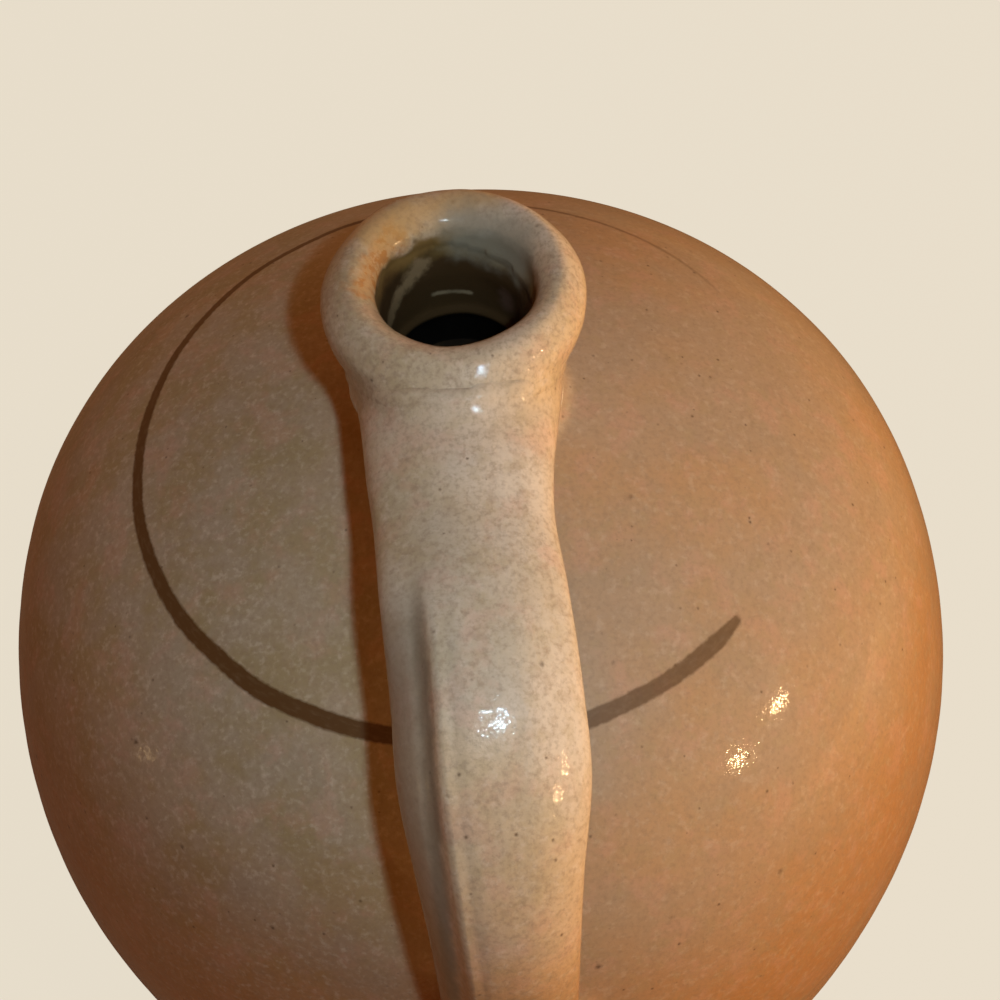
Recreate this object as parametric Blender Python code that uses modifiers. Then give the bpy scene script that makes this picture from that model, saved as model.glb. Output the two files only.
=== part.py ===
"""Two-gallon stoneware jug: a thrown body in turned members, a rolled lip and a pulled strap handle."""
import math

import bmesh
import bpy

# Lengths are in metres and +Z is up. The origin is the centre of the flat foot.
# The body turns about Z, and the handle stands in the plane X = 0 on the -Y side.

# Foot, floor and wall
FOOT_RADIUS = 0.080
FOOT_CHAMFER = 0.0025
FLOOR_THICKNESS = 0.010
WALL_THICKNESS = 0.0085

# The body's outside is drawn with tangent arcs. An arc's lean is the height of its normal above level.
BELLY_HEIGHT = 0.168
WALL_ARC_RADIUS = 0.1709
SHOULDER_ARC_RADIUS = 0.0721
CROWN_ARC_RADIUS = 0.1544
WALL_TOP_LEAN = math.radians(22.6)
CROWN_FOOT_LEAN = math.radians(61.35)
CROWN_TOP_LEAN = math.radians(81.0)

# Neck and throat
NECK_FOOT_RADIUS = 0.024
NECK_RADIUS = 0.0200
NECK_HEIGHT = 0.0220
NECK_SEAM_RISE = 0.0014
THROAT_RADIUS = 0.0138

# Rolled lip, with a mouth that takes a cork
LIP_RADIUS = 0.0250
LIP_CREST_RADIUS = 0.0196
LIP_HEIGHT = 0.0150
LIP_ROLL_RISE = 0.0066
MOUTH_RADIUS = 0.0150
MOUTH_DEPTH = 0.0046
LIP_UNDERCUT_LEAN = math.radians(-70.0)

# Pulled strap handle. Its middle line falls from a crest below the lip's top, and stays within the belly.
STRAP_INSET = 0.0025
STRAP_CREST_DROP = 0.0160
STRAP_FALL = 0.1080
STRAP_WIDTH = 0.0340
STRAP_THICKNESS = 0.0135
STRAP_GROOVE_DEPTH = 0.0010
STRAP_GROOVE_WIDTH = 0.0040
STRAP_GROOVE_OFFSET = 0.0095
STRAP_ROUNDNESS_SHARE = 0.80

# Along the strap: share of the reach, share of the fall, share of the width
STRAP_STATION_SHARES = (
    (0.105, 0.105, 1.26),
    (0.206, 0.048, 1.09),
    (0.350, 0.018, 1.01),
    (0.520, 0.000, 1.00),
    (0.655, 0.020, 0.99),
    (0.790, 0.086, 0.96),
    (0.895, 0.190, 0.89),
    (0.966, 0.335, 0.82),
    (1.000, 0.530, 0.79),
    (0.997, 0.690, 0.79),
    (0.968, 0.840, 0.84),
    (0.890, 0.975, 0.92),
)

# Clay pressed under the strap at the neck, and smeared round its tail on the shoulder
ROOT_WAD_WIDTH = 0.0320
ROOT_WAD_DEPTH = 0.0240
ROOT_WAD_HEIGHT = 0.0170
TAIL_PAD_WIDTH = 0.0390
TAIL_PAD_LENGTH = 0.0400
TAIL_PAD_RISE = 0.0045
TAIL_PAD_DROP = 0.0060

# Neighbouring members keep this gap.
JOINT_GAP = 0.0003

# Facets
TURN_STEPS = 64
ARC_STEP = math.radians(5.6)
LIP_STEP = math.radians(24.0)
LOWER_WALL_RINGS = 9
STRAP_SECTION_POINTS = 20
STRAP_RINGS_PER_STATION = 3
PAD_SEGMENTS = 28
PAD_RINGS = 16
WELD_DISTANCE = 0.00001

# Colour and roughness of each member, from toasted clay below to pale glaze on the lip
FINISHES = {
    "floor_disc": ((0.42, 0.27, 0.15), 0.85),
    "lower_wall": ((0.36, 0.21, 0.10), 0.36),
    "shoulder_dome": ((0.33, 0.23, 0.14), 0.34),
    "neck_collar": ((0.35, 0.27, 0.18), 0.34),
    "lip_roll": ((0.40, 0.33, 0.24), 0.30),
    "handle_strap": ((0.38, 0.30, 0.21), 0.30),
    "handle_root_wad": ((0.34, 0.26, 0.17), 0.36),
    "handle_tail_pad": ((0.36, 0.23, 0.12), 0.36),
}

# Worked out from the sizes above
BODY_ARCS = (
    (CROWN_ARC_RADIUS, CROWN_TOP_LEAN, CROWN_FOOT_LEAN),
    (SHOULDER_ARC_RADIUS, CROWN_FOOT_LEAN, WALL_TOP_LEAN),
    (WALL_ARC_RADIUS, WALL_TOP_LEAN, 0.0),
)
BELLY_RADIUS = NECK_FOOT_RADIUS + sum(
    radius * (math.cos(low) - math.cos(high)) for radius, high, low in BODY_ARCS)
DOME_HEIGHT = sum(radius * (math.sin(high) - math.sin(low)) for radius, high, low in BODY_ARCS)
CROWN_TOP = BELLY_HEIGHT + DOME_HEIGHT
LIP_UNDERSIDE = CROWN_TOP + NECK_HEIGHT
JUG_HEIGHT = LIP_UNDERSIDE + LIP_HEIGHT
FOOT_TUCK = BELLY_RADIUS - FOOT_RADIUS
LOWER_ARC_RADIUS = (BELLY_HEIGHT ** 2 + FOOT_TUCK ** 2) / (2 * FOOT_TUCK)
NECK_FILLET_RADIUS = (NECK_FOOT_RADIUS - NECK_RADIUS) / (1 - math.cos(CROWN_TOP_LEAN))
CREST_HEIGHT = JUG_HEIGHT - STRAP_CREST_DROP
STRAP_REACH = BELLY_RADIUS - STRAP_INSET


def angles(start, end, step):
    """Even angles from start to end, both included, no further apart than step."""
    count = max(2, math.ceil(abs(end - start) / step))
    return [start + (end - start) * i / count for i in range(count + 1)]


def bow(centre_r, centre_z, width, height, start, end, step):
    """Points (r, z) along an arc of a circle or ellipse."""
    leans = angles(start, end, step)
    return [(centre_r + width * math.cos(lean), centre_z + height * math.sin(lean)) for lean in leans]


def joined(*stretches):
    """One outline from stretches that meet, without the points they share."""
    points = list(stretches[0])
    for stretch in stretches[1:]:
        start = 1 if math.dist(points[-1], stretch[0]) < WELD_DISTANCE else 0
        points += stretch[start:]
    return points


def body_outside():
    """The outside of the body from the neck's foot down to the floor's underside."""
    stretches = []
    r, z = NECK_FOOT_RADIUS, CROWN_TOP
    for radius, high, low in BODY_ARCS:
        centre_r = r - radius * math.cos(high)
        centre_z = z - radius * math.sin(high)
        stretches.append(bow(centre_r, centre_z, radius, radius, high, low, ARC_STEP))
        r, z = stretches[-1][-1]
    foot_lean = -math.asin(BELLY_HEIGHT / LOWER_ARC_RADIUS)
    step = abs(foot_lean) / LOWER_WALL_RINGS
    centre_r = BELLY_RADIUS - LOWER_ARC_RADIUS
    stretches.append(bow(centre_r, BELLY_HEIGHT, LOWER_ARC_RADIUS, LOWER_ARC_RADIUS, 0.0, foot_lean, step))
    return joined(*stretches)


def neck_outside():
    """The outside of the lip and neck, from the lip's crest down to the neck's foot."""
    roll_width = LIP_RADIUS - LIP_CREST_RADIUS
    roll_centre = JUG_HEIGHT - LIP_ROLL_RISE
    under_height = LIP_HEIGHT - LIP_ROLL_RISE
    top = bow(LIP_CREST_RADIUS, roll_centre, roll_width, LIP_ROLL_RISE, math.pi / 2, 0.0, LIP_STEP)
    under = bow(LIP_CREST_RADIUS, roll_centre, roll_width, under_height, 0.0, LIP_UNDERCUT_LEAN, LIP_STEP)
    fillet_r = NECK_RADIUS + NECK_FILLET_RADIUS
    fillet_z = CROWN_TOP + NECK_FILLET_RADIUS * math.sin(CROWN_TOP_LEAN)
    fillet = bow(fillet_r, fillet_z, NECK_FILLET_RADIUS, NECK_FILLET_RADIUS,
                 math.pi, math.pi + CROWN_TOP_LEAN, LIP_STEP)
    return joined(top, under, [(NECK_RADIUS, LIP_UNDERSIDE)], fillet)


def grown(points, distance):
    """The outline moved outwards by a distance, square to itself at each point."""
    moved = []
    for i, (r, z) in enumerate(points):
        before = points[max(i - 1, 0)]
        after = points[min(i + 1, len(points) - 1)]
        length = math.dist(before, after)
        moved.append((r - distance * (after[1] - before[1]) / length,
                      z + distance * (after[0] - before[0]) / length))
    return moved


def jug_inside():
    """The inside from the lip's crest down through the throat to the floor."""
    slope_width = LIP_CREST_RADIUS - MOUTH_RADIUS
    slope = bow(LIP_CREST_RADIUS, JUG_HEIGHT - MOUTH_DEPTH, slope_width, MOUTH_DEPTH,
                math.pi / 2, math.pi, LIP_STEP)
    hollow = [p for p in grown(body_outside(), -WALL_THICKNESS) if p[0] > THROAT_RADIUS + WALL_THICKNESS]
    crown_centre = NECK_FOOT_RADIUS - CROWN_ARC_RADIUS * math.cos(CROWN_TOP_LEAN)
    inner_radius = CROWN_ARC_RADIUS - WALL_THICKNESS
    throat_lean = math.acos((THROAT_RADIUS - crown_centre) / inner_radius)
    ceiling = CROWN_TOP + inner_radius * math.sin(throat_lean) - CROWN_ARC_RADIUS * math.sin(CROWN_TOP_LEAN)
    return joined(slope, [(THROAT_RADIUS, LIP_UNDERSIDE), (THROAT_RADIUS, ceiling)], hollow)


def radius_at(points, level):
    """The radius of a falling outline at a height."""
    for (r0, z0), (r1, z1) in zip(points, points[1:]):
        if z1 <= level <= z0:
            return r0 + (r1 - r0) * (z0 - level) / (z0 - z1)
    raise ValueError("the outline doesn't reach this height")


def between(points, high, low):
    """The stretch of a falling outline between two heights."""
    middle = [p for p in points if low + WELD_DISTANCE < p[1] < high - WELD_DISTANCE]
    return [(radius_at(points, high), high)] + middle + [(radius_at(points, low), low)]


def new_object(name, data, collection):
    """An object that holds the data, linked to a collection."""
    thing = bpy.data.objects.new(name, data)
    collection.objects.link(thing)
    return thing


def settle(thing):
    """An object's evaluated shape as a new, welded mesh."""
    graph = bpy.context.evaluated_depsgraph_get()
    mesh = bpy.data.meshes.new_from_object(thing.evaluated_get(graph))
    cage = bmesh.new()
    cage.from_mesh(mesh)
    bmesh.ops.remove_doubles(cage, verts=cage.verts, dist=WELD_DISTANCE)
    cage.to_mesh(mesh)
    cage.free()
    mesh.name = thing.name
    return mesh


def shade(mesh):
    """Smooth shading with crisp seams."""
    mesh.shade_smooth()
    mesh.set_sharp_from_angle(angle=math.radians(38))


def turned(name, profile, closed, collection):
    """A solid turned about Z from a profile that runs down its outside."""
    mesh = bpy.data.meshes.new(name)
    count = len(profile)
    edges = [(i, i + 1) for i in range(count - 1)]
    if closed:
        edges.append((count - 1, 0))
    mesh.from_pydata([(r, 0.0, z) for r, z in profile], edges, [])
    thing = new_object(name, mesh, collection)
    screw = thing.modifiers.new("turn", "SCREW")
    screw.steps = TURN_STEPS
    screw.render_steps = TURN_STEPS
    screw.use_merge_vertices = True
    screw.merge_threshold = WELD_DISTANCE
    solid = settle(thing)
    thing.modifiers.clear()
    thing.data = solid
    shade(solid)
    return thing


def member(name, high, low, collection):
    """A ring of the body's wall between two heights."""
    outside = between(joined(neck_outside(), body_outside()), high, low)
    inside = between(jug_inside(), high, low)
    if math.dist(outside[0], inside[0]) < WELD_DISTANCE:
        inside = inside[1:]
    return turned(name, outside + inside[::-1], True, collection)


def floor_disc(collection):
    """The floor slab with its chamfered foot and flat underside."""
    wall = between(body_outside(), FLOOR_THICKNESS, FOOT_CHAMFER)
    profile = [(0.0, FLOOR_THICKNESS)] + wall + [(wall[-1][0] - FOOT_CHAMFER, 0.0), (0.0, 0.0)]
    return turned("floor_disc", profile, False, collection)


def body_form(collection):
    """A cutter: the whole body, neck and lip as one solid, larger by the joint gap."""
    outside = grown(joined(neck_outside(), body_outside()), JOINT_GAP)
    profile = [(0.0, outside[0][1])] + outside[:-1] + [(FOOT_RADIUS, -JOINT_GAP), (0.0, -JOINT_GAP)]
    return turned("body_form", profile, False, collection)


def rounded(value):
    """A circle's sine or cosine pulled towards a flat oval with round corners."""
    return math.copysign(abs(value) ** STRAP_ROUNDNESS_SHARE, value)


def strap_section(name, gap, collection):
    """The strap's section at full width: a flat oval, its outer face grooved on the strap's -X side."""
    curve = bpy.data.curves.new(name, "CURVE")
    curve.dimensions = "2D"
    spline = curve.splines.new("POLY")
    spline.points.add(STRAP_SECTION_POINTS - 1)
    spline.use_cyclic_u = True
    for i, point in enumerate(spline.points):
        turn = -math.tau * i / STRAP_SECTION_POINTS
        across = rounded(math.cos(turn)) * (STRAP_WIDTH / 2 + gap)
        out = rounded(math.sin(turn)) * (STRAP_THICKNESS / 2 + gap)
        if out > 0:
            out -= STRAP_GROOVE_DEPTH * math.exp(-((across - STRAP_GROOVE_OFFSET) / STRAP_GROOVE_WIDTH) ** 2)
        point.co = (across, out, 0.0, 1.0)
    guide = new_object(name, curve, collection)
    hide(guide)
    return guide


def strap_path():
    """The stations of the strap's middle line: distance from the axis, height, share of the width."""
    return [(reach * STRAP_REACH, CREST_HEIGHT - fall * STRAP_FALL, width)
            for reach, fall, width in STRAP_STATION_SHARES]


def tail_height():
    """The height where the strap's outer face runs into the shoulder."""
    outside = body_outside()
    sunk = None
    for out, height, width in reversed(strap_path()):
        stand_off = out + width * STRAP_THICKNESS / 2 - radius_at(outside, height)
        if stand_off >= 0:
            break
        sunk = (height, stand_off)
    if sunk is None:
        return height
    return height + (sunk[0] - height) * stand_off / (stand_off - sunk[1])


def strap_sweep(name, gap, collection, guides):
    """The strap as one swept solid, larger all round by a gap."""
    section = strap_section(name + "_section", gap, guides)
    curve = bpy.data.curves.new(name, "CURVE")
    curve.dimensions = "3D"
    curve.twist_mode = "MINIMUM"
    curve.bevel_mode = "OBJECT"
    curve.bevel_object = section
    curve.use_fill_caps = True
    curve.resolution_u = STRAP_RINGS_PER_STATION
    spline = curve.splines.new("BEZIER")
    spline.bezier_points.add(len(STRAP_STATION_SHARES) - 1)
    for point, (out, height, width) in zip(spline.bezier_points, strap_path()):
        point.co = (0.0, -out, height)
        point.radius = width
        point.handle_left_type = "AUTO"
        point.handle_right_type = "AUTO"
    sweep = new_object(name + "_sweep", curve, collection)
    mesh = settle(sweep)
    strap = new_object(name, mesh, collection)
    strap.matrix_world = sweep.matrix_world
    bpy.data.objects.remove(sweep)
    shade(mesh)
    return strap


def lump(name, centre, size, tilt, collection):
    """A pressed lump of clay: an ellipsoid of a given size, tilted about X."""
    mesh = bpy.data.meshes.new(name)
    cage = bmesh.new()
    bmesh.ops.create_uvsphere(cage, u_segments=PAD_SEGMENTS, v_segments=PAD_RINGS, radius=0.5)
    cage.to_mesh(mesh)
    cage.free()
    thing = new_object(name, mesh, collection)
    thing.scale = size
    thing.rotation_euler.x = tilt
    thing.location = centre
    shade(mesh)
    return thing


def hide(thing):
    """Marks a guide or a cutter, which isn't part of the jug."""
    thing.hide_render = True
    thing.display_type = "WIRE"


def cut(thing, cutter):
    """Takes the cutter's shape out of a piece."""
    boolean = thing.modifiers.new(cutter.name, "BOOLEAN")
    boolean.operation = "DIFFERENCE"
    boolean.solver = "EXACT"
    boolean.object = cutter


def paint(thing, colour, roughness):
    """A glaze or clay of its own for a piece."""
    material = bpy.data.materials.new(thing.name + "_clay")
    material.use_nodes = True
    shader = material.node_tree.nodes["Principled BSDF"]
    shader.inputs["Base Color"].default_value = (*colour, 1.0)
    shader.inputs["Roughness"].default_value = roughness
    shader.inputs["Metallic"].default_value = 0.0
    material.diffuse_color = (*colour, 1.0)
    thing.data.materials.clear()
    thing.data.materials.append(material)


def main():
    for thing in list(bpy.data.objects):
        bpy.data.objects.remove(thing)
    jug = bpy.data.collections.new("stoneware_jug")
    cutters = bpy.data.collections.new("cutters")
    bpy.context.scene.collection.children.link(jug)
    bpy.context.scene.collection.children.link(cutters)

    neck_seam = CROWN_TOP + NECK_SEAM_RISE
    floor = floor_disc(jug)
    lower = member("lower_wall", BELLY_HEIGHT, FLOOR_THICKNESS + JOINT_GAP, jug)
    shoulder = member("shoulder_dome", neck_seam, BELLY_HEIGHT + JOINT_GAP, jug)
    neck = member("neck_collar", LIP_UNDERSIDE, neck_seam + JOINT_GAP, jug)
    lip = member("lip_roll", JUG_HEIGHT, LIP_UNDERSIDE + JOINT_GAP, jug)

    form = body_form(cutters)
    hide(form)
    strap = strap_sweep("handle_strap", 0.0, jug, cutters)
    strap_form = strap_sweep("strap_form", JOINT_GAP, cutters, cutters)
    hide(strap_form)
    cut(strap, form)

    root_out, root_level = strap_path()[1][:2]
    root_size = (ROOT_WAD_WIDTH, ROOT_WAD_DEPTH, ROOT_WAD_HEIGHT)
    root_place = (0.0, -root_out, root_level - STRAP_THICKNESS / 2)
    root = lump("handle_root_wad", root_place, root_size, 0.0, jug)
    tail_level = tail_height() - TAIL_PAD_DROP
    tail_radius = radius_at(body_outside(), tail_level)
    lower_radius = radius_at(body_outside(), tail_level - TAIL_PAD_RISE)
    tail_lean = math.atan2(lower_radius - tail_radius, TAIL_PAD_RISE)
    tail_size = (TAIL_PAD_WIDTH, 2 * TAIL_PAD_RISE, TAIL_PAD_LENGTH)
    tail = lump("handle_tail_pad", (0.0, -tail_radius, tail_level), tail_size, -tail_lean, jug)
    for wad in (root, tail):
        cut(wad, form)
        cut(wad, strap_form)

    for piece in (floor, lower, shoulder, neck, lip, strap, root, tail):
        paint(piece, *FINISHES[piece.name])
    print("jug height", round(JUG_HEIGHT, 4), "belly radius", round(BELLY_RADIUS, 4))


main()
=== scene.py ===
# %% [markdown]
# A two-gallon stoneware jug, thrown on a wheel, given a pulled strap handle and fired with salt.
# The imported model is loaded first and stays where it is. The new pieces take their sizes from its boxes,
# so they sit where it says: a thrown body, a neck with a rolled lip, the strap handle and the bare foot.

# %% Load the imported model
import collections
import math

import bpy
import mathutils
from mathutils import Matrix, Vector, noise


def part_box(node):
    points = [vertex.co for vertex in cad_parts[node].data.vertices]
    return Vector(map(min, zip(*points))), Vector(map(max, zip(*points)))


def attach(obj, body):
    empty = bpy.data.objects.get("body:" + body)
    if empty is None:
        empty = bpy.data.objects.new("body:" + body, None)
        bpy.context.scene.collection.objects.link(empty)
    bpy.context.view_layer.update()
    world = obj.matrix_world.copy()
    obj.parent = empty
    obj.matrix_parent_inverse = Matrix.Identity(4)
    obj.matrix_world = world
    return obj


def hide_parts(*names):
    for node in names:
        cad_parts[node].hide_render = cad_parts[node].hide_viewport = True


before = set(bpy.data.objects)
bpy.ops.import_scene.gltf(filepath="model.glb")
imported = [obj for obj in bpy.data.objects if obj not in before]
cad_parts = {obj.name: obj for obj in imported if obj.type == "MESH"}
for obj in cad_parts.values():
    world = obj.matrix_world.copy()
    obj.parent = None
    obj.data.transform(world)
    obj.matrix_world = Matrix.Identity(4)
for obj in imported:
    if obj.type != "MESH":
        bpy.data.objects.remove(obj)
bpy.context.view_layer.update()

MM = 0.001

# %% [markdown]
# The photograph looks down over the handle from close by. A camera is placed by how far it stands back
# from the middle of the lip and how far above it, then turned by three angles: to the side, down, and
# about its own view. A 54 mm lens on a 36 mm sensor sees what the photograph shows.

# %% Place the camera
LIP_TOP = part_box("lip_roll")[1].z
CAMERA_BACK = 193.2 * MM
CAMERA_ABOVE_LIP = 208.2 * MM
CAMERA_LENS = 54.0
LOOK_ASIDE = math.radians(2.0)
LOOK_DOWN = math.radians(55.86)
CAMERA_ROLL = math.radians(3.16)

camera_data = bpy.data.cameras.new("overhead_camera")
camera_data.lens = CAMERA_LENS
camera_data.sensor_width = 36.0
camera_data.clip_start = 10 * MM
camera = bpy.data.objects.new("overhead_camera", camera_data)
bpy.context.scene.collection.objects.link(camera)
camera.location = (0.0, -CAMERA_BACK, LIP_TOP + CAMERA_ABOVE_LIP)
aside = mathutils.Quaternion((0, 0, 1), -LOOK_ASIDE)
down = mathutils.Quaternion((1, 0, 0), math.pi / 2 - LOOK_DOWN)
roll = mathutils.Quaternion((0, 0, 1), -CAMERA_ROLL)
camera.rotation_mode = "QUATERNION"
camera.rotation_quaternion = aside @ down @ roll
bpy.context.scene.camera = camera
print("camera at", [round(place / MM, 1) for place in camera.location], "mm")

# %% [markdown]
# A thrown pot is a profile turned about one axis. The outside is a chain of arcs that meet smoothly: the
# lip's roll, a straight neck, a small fillet, a nearly flat crown, a quick shoulder, and one long arc
# down to the foot. An arc's lean is the height of its normal above level. Arcs are kept as arcs, and a
# spacing in millimetres says how close their points lie, so the rolled lip gets finer rings than the wall.

# %% Sizes of the thrown form
FOOT_RADIUS = 80.0 * MM
WALL_THICKNESS = 8.5 * MM
FLOOR_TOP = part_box("floor_disc")[1].z
BELLY_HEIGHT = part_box("lower_wall")[1].z
BELLY_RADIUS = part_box("lower_wall")[1].x
NECK_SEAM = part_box("neck_collar")[0].z
LIP_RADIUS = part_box("lip_roll")[1].x
LIP_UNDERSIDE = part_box("neck_collar")[1].z
CROWN_TOP = NECK_SEAM - 1.7 * MM
CROWN_ARC = 154.4 * MM
SHOULDER_ARC = 72.1 * MM
WALL_ARC = 170.9 * MM
CROWN_TOP_LEAN = math.radians(81.0)
CROWN_FOOT_LEAN = math.radians(61.35)
WALL_TOP_LEAN = math.radians(22.6)
NECK_FOOT_RADIUS = 24.0 * MM
NECK_RADIUS = 20.0 * MM
LIP_CREST_RADIUS = 19.6 * MM
LIP_ROLL_RISE = 6.6 * MM
LIP_UNDERCUT_LEAN = math.radians(-70.0)
MOUTH_RADIUS = 15.0 * MM
MOUTH_DEPTH = 4.6 * MM
THROAT_RADIUS = 13.8 * MM
THROAT_RIDGE_DEPTH = 26.0 * MM
MOUTH_WIDE_ANGLE = math.radians(18)
MOUTH_WIDER = 1.5 * MM
CREST_BACK = 1.5 * MM
NEAR_NECK = 28 * MM

# How close the points of each run lie
MOUTH_SPACING = 0.5 * MM
LIP_SPACING = 0.6 * MM
THROAT_SPACING = 0.8 * MM
NECK_SPACING = 0.9 * MM
CROWN_SPACING = 1.6 * MM
SHOULDER_SPACING = 1.8 * MM
WALL_SPACING = 2.0 * MM
LOW_WALL_SPACING = 2.2 * MM
print("belly radius", round(BELLY_RADIUS / MM, 1), "mm at", round(BELLY_HEIGHT / MM, 1), "mm")


# %% Draw the profile
def arc(centre, size, start, end, spacing):
    """Points (r, z) from one lean to another on a circle or ellipse, about a spacing apart."""
    count = max(2, round(abs(end - start) * max(size) / spacing))
    leans = [start + (end - start) * i / count for i in range(count + 1)]
    return [(centre[0] + size[0] * math.cos(a), centre[1] + size[1] * math.sin(a)) for a in leans]


def line(start, end, spacing):
    """Points on a straight run, about a spacing apart."""
    count = max(1, round(math.dist(start, end) / spacing))
    return [(start[0] + (end[0] - start[0]) * i / count, start[1] + (end[1] - start[1]) * i / count)
            for i in range(count + 1)]


def chain(*runs):
    """One list of points from runs that start where the last one ended."""
    points = list(runs[0])
    for run in runs[1:]:
        points += run[1:] if math.dist(points[-1], run[0]) < 0.01 * MM else run
    return points


def offset(points, distance):
    """The profile moved to its left by a distance, square to itself."""
    moved = []
    for i, (r, z) in enumerate(points):
        before, after = points[max(i - 1, 0)], points[min(i + 1, len(points) - 1)]
        length = math.dist(before, after)
        moved.append((r - distance * (after[1] - before[1]) / length,
                      z + distance * (after[0] - before[0]) / length))
    return moved


def wall_outside():
    """The outside from the neck's foot down to the floor's level."""
    points = []
    r, z = NECK_FOOT_RADIUS, CROWN_TOP
    arcs = ((CROWN_ARC, CROWN_TOP_LEAN, CROWN_FOOT_LEAN, CROWN_SPACING),
            (SHOULDER_ARC, CROWN_FOOT_LEAN, WALL_TOP_LEAN, SHOULDER_SPACING),
            (WALL_ARC, WALL_TOP_LEAN, 0.0, WALL_SPACING))
    for radius, high, low, spacing in arcs:
        centre = (r - radius * math.cos(high), z - radius * math.sin(high))
        run = arc(centre, (radius, radius), high, low, spacing)
        points = chain(points, run) if points else run
        r, z = points[-1]
    tuck = BELLY_RADIUS - FOOT_RADIUS
    low_arc = (BELLY_HEIGHT ** 2 + tuck ** 2) / (2 * tuck)
    floor_lean = -math.asin((BELLY_HEIGHT - FLOOR_TOP) / low_arc)
    centre = (BELLY_RADIUS - low_arc, BELLY_HEIGHT)
    return chain(points, arc(centre, (low_arc, low_arc), 0.0, floor_lean, LOW_WALL_SPACING))


def neck_outside():
    """The outside from the lip's crest down to the neck's foot."""
    roll_centre = (LIP_CREST_RADIUS, LIP_TOP - LIP_ROLL_RISE)
    roll_width = LIP_RADIUS - LIP_CREST_RADIUS
    under_height = roll_centre[1] - LIP_UNDERSIDE
    over = arc(roll_centre, (roll_width, LIP_ROLL_RISE), math.pi / 2, 0.0, LIP_SPACING)
    under = arc(roll_centre, (roll_width, under_height), 0.0, LIP_UNDERCUT_LEAN, LIP_SPACING)
    fillet = (NECK_FOOT_RADIUS - NECK_RADIUS) / (1 - math.cos(CROWN_TOP_LEAN))
    centre = (NECK_RADIUS + fillet, CROWN_TOP + fillet * math.sin(CROWN_TOP_LEAN))
    neck = line((NECK_RADIUS, LIP_UNDERSIDE), (NECK_RADIUS, centre[1]), NECK_SPACING)
    foot = arc(centre, (fillet, fillet), math.pi, math.pi + CROWN_TOP_LEAN, LIP_SPACING)
    return chain(over, under, neck, foot)


def inside(outside):
    """The inside from the lip's crest down the throat and the wall to the floor."""
    slope = arc((LIP_CREST_RADIUS, LIP_TOP - MOUTH_DEPTH), (LIP_CREST_RADIUS - MOUTH_RADIUS, MOUTH_DEPTH),
                math.pi / 2, math.pi, MOUTH_SPACING)
    hollow = [p for p in offset(outside, -WALL_THICKNESS)[::2] if p[0] > THROAT_RADIUS + WALL_THICKNESS]
    ceiling = (THROAT_RADIUS, CROWN_TOP - WALL_THICKNESS)
    collar = line((MOUTH_RADIUS, LIP_TOP - MOUTH_DEPTH), (THROAT_RADIUS, LIP_UNDERSIDE), THROAT_SPACING)
    throat = line((THROAT_RADIUS, LIP_UNDERSIDE), ceiling, THROAT_SPACING)
    floor_edge = (hollow[-1][0], FLOOR_TOP)
    return chain(slope, collar, throat, hollow[:-1], [floor_edge])


outer_profile = chain(neck_outside(), wall_outside())
inner_profile = inside(wall_outside())
turned_profile = outer_profile[::-1] + inner_profile[1:]
print("profile points", len(turned_profile))

# %% [markdown]
# On the wheel the profile goes round in clay. Here one vertex is extruded from point to point, and the
# finished line is spun about Z. Spin leaves its faces in the order in which the line was drawn, so the
# normals are set again once the start and the end of the turn are merged.

# %% Turn the body on the wheel
TURN_STEPS = 256
PROFILE_MERGE = 0.005 * MM


def only(thing):
    """Select one object alone, because an operator acts on all that is selected."""
    bpy.ops.object.select_all(action="DESELECT")
    thing.select_set(True)
    bpy.context.view_layer.objects.active = thing


def start_from(name, primitive, **settings):
    """A new primitive with a name, alone in the selection."""
    bpy.ops.object.select_all(action="DESELECT")
    primitive(**settings)
    thing = bpy.context.object
    thing.name = thing.data.name = name
    return thing


def face_outwards(thing, merge):
    """Merge the points that meet, and turn every face outwards."""
    only(thing)
    bpy.ops.object.mode_set(mode="EDIT")
    bpy.ops.mesh.select_all(action="SELECT")
    bpy.ops.mesh.remove_doubles(threshold=merge)
    bpy.ops.mesh.normals_make_consistent(inside=False)
    bpy.ops.object.mode_set(mode="OBJECT")


def turn_profile(name, points):
    """Extrude a vertex along the profile in the plane Y = 0, and spin the line about Z."""
    start = (points[0][0], 0, points[0][1])
    thing = start_from(name, bpy.ops.mesh.primitive_plane_add, size=MM, location=start)
    bpy.ops.object.mode_set(mode="EDIT")
    bpy.ops.mesh.select_all(action="SELECT")
    bpy.ops.mesh.merge(type="CENTER")
    for (r0, z0), (r1, z1) in zip(points, points[1:]):
        bpy.ops.mesh.extrude_vertices_move(TRANSFORM_OT_translate={"value": (r1 - r0, 0, z1 - z0)})
    bpy.ops.mesh.select_all(action="SELECT")
    bpy.ops.mesh.spin(steps=TURN_STEPS, angle=math.tau, center=(0, 0, 0), axis=(0, 0, 1))
    bpy.ops.object.mode_set(mode="OBJECT")
    face_outwards(thing, PROFILE_MERGE)
    bpy.ops.object.transform_apply(location=True, rotation=True, scale=True)
    return thing


jug_form = turn_profile("turned_form", turned_profile)
print("turned form", len(jug_form.data.polygons), "faces")

# %% [markdown]
# A pulled strap starts as a carrot of wet clay that is stroked long and flat. It is made the same way
# here: a rod is extruded ring by ring, and then each ring is laid along the strap's path and stroked to its
# section. Each station gives the path's distance out and height, the half widths to the left and to the
# right, and the thickness. The root wraps round the neck, and the tail is smeared down the shoulder.

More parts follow.
